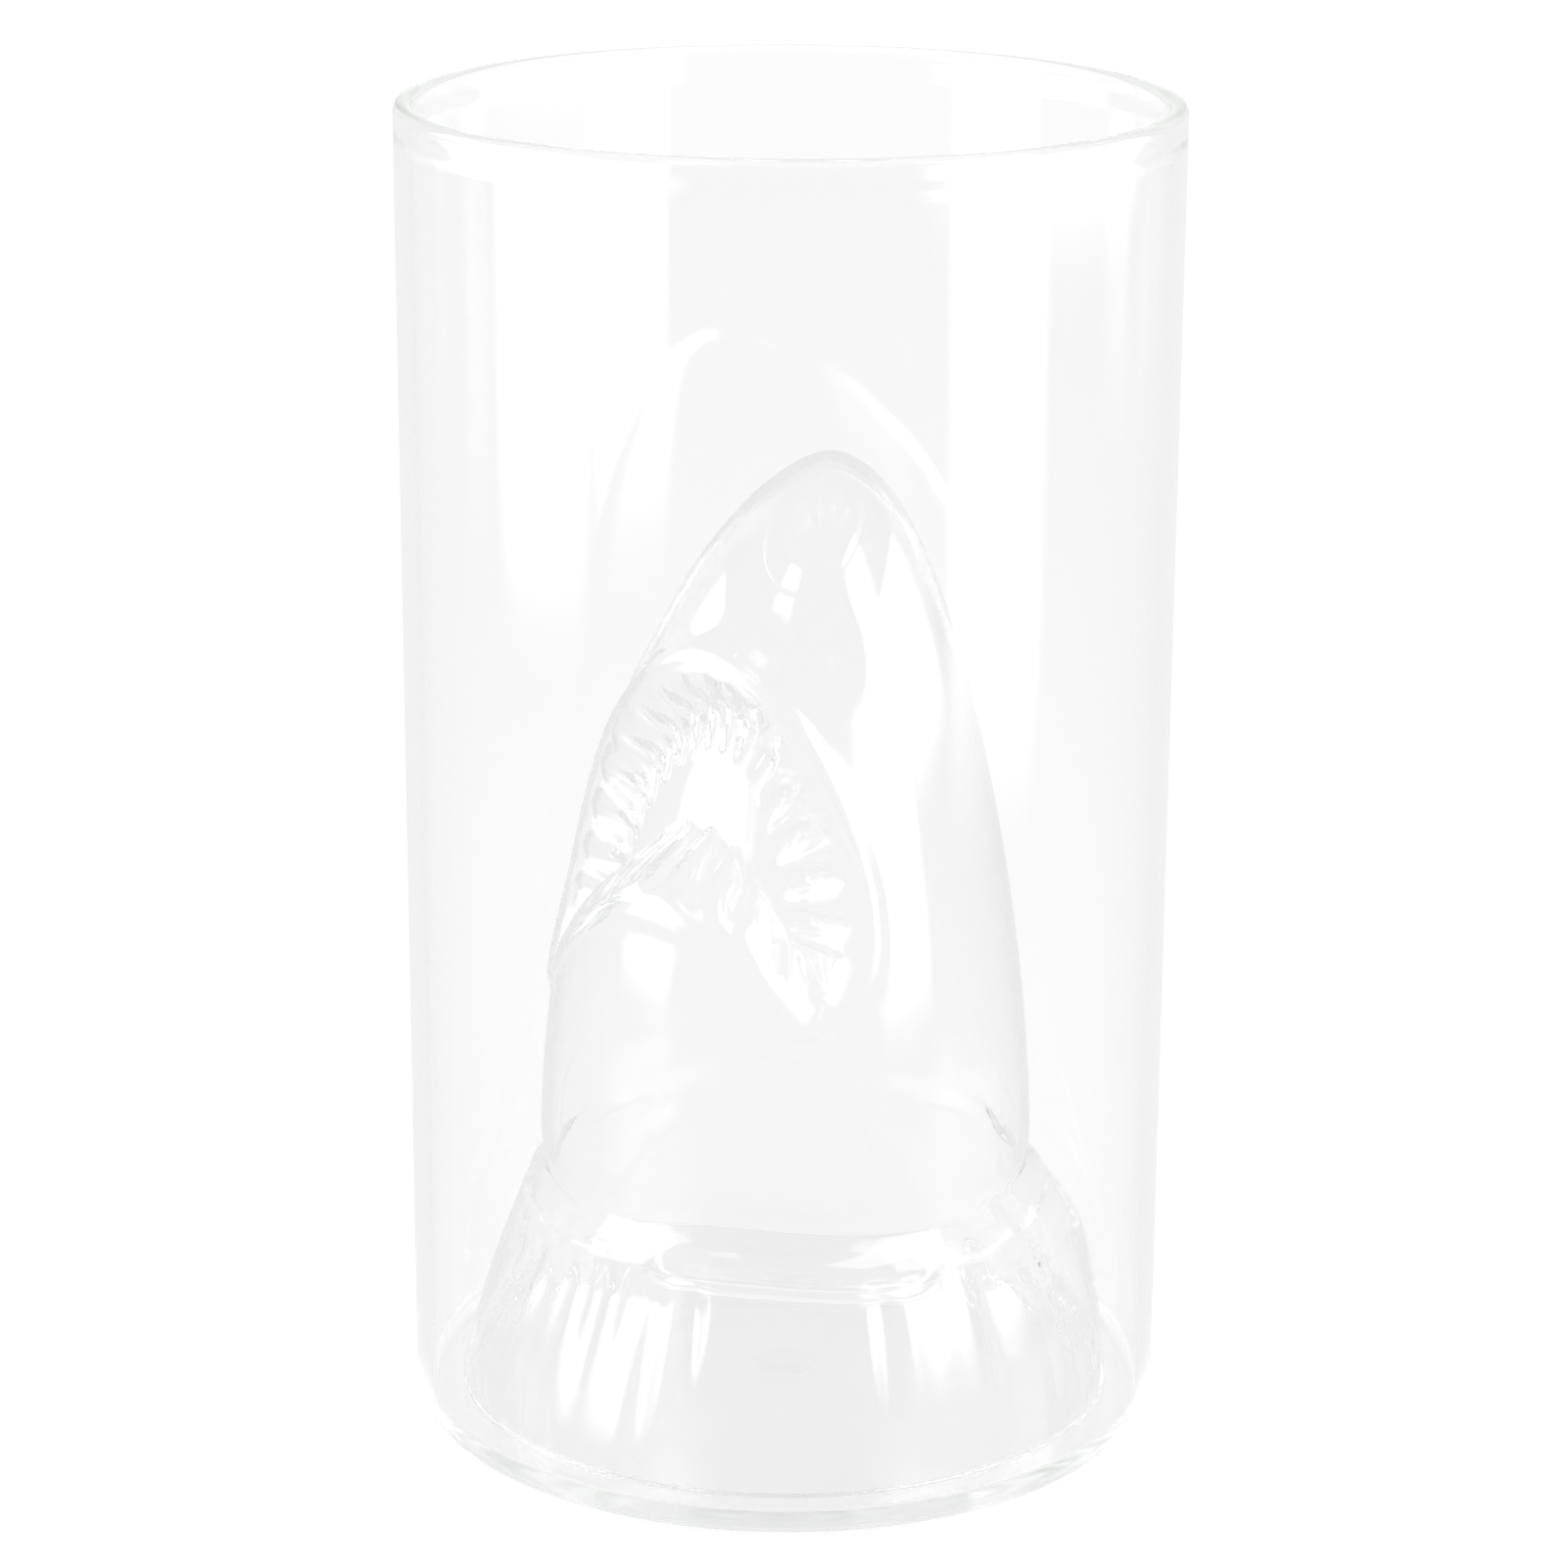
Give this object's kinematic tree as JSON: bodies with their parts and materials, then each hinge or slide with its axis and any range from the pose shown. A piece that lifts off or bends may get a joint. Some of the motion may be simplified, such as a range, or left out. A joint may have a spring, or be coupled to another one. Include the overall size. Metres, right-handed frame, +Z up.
{
  "type": "double-wall drinking glass",
  "caption": "Straight clear glass tumbler for drinks, with a sealed hollow inner wall shaped as an open-mouthed shark rising from a wave.",
  "frame": {"origin": "middle of the underside of the base, on the table", "axes": "+Z up along the tumbler, -Y is the way the shark's mouth faces, +X to the shark's left"},
  "size_m": [0.08, 0.08, 0.14],
  "materials": {
    "tumbler_glass": "clear drawn tube, fire-polished rim",
    "insert_glass": "clear, mould-blown, slightly wavy",
    "seal_glass": "clear, flame-melted"
  },
  "bodies": {
    "root": {"outer_wall": "tumbler_glass", "shark_insert": "insert_glass", "seal_ring": "seal_glass", "vent_pip": "seal_glass"}
  },
  "joints": []
}
